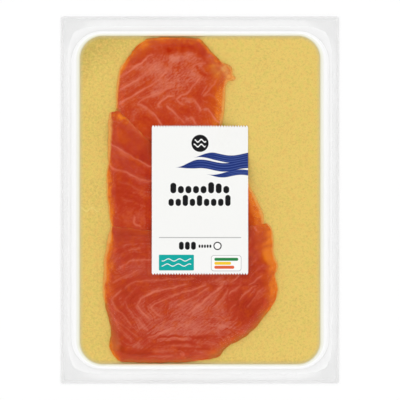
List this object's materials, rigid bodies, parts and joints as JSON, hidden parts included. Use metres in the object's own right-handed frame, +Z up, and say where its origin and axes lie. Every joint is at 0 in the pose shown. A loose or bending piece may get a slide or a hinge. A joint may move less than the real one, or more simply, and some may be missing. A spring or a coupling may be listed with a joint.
{
  "type": "smoked salmon trout pack",
  "caption": "Flat vacuum pack of sliced smoked salmon trout: overlapping orange-red slices on a gold card board, in clear film with a flat seal band, under a pinked paper label.",
  "frame": {"origin": "middle of the pack's underside, on the surface it lies on", "axes": "+X to the right and +Y towards the top edge of the pack as its label reads, +Z up out of the shown face"},
  "size_m": [0.175, 0.231, 0.0097],
  "materials": {
    "film": "clear glossy film, milky where it is sealed to itself",
    "board": "gold-coloured coated card with a fine speckled grain",
    "fish": "moist smoked fish flesh, orange at its edges, with pale lines of fat",
    "label": "white paper, printed, with pinked ends"
  },
  "bodies": {
    "root": {"film": "film", "board": "board", "slice_upper": "fish", "slice_middle": "fish", "slice_lower": "fish", "label": "label"}
  },
  "joints": []
}
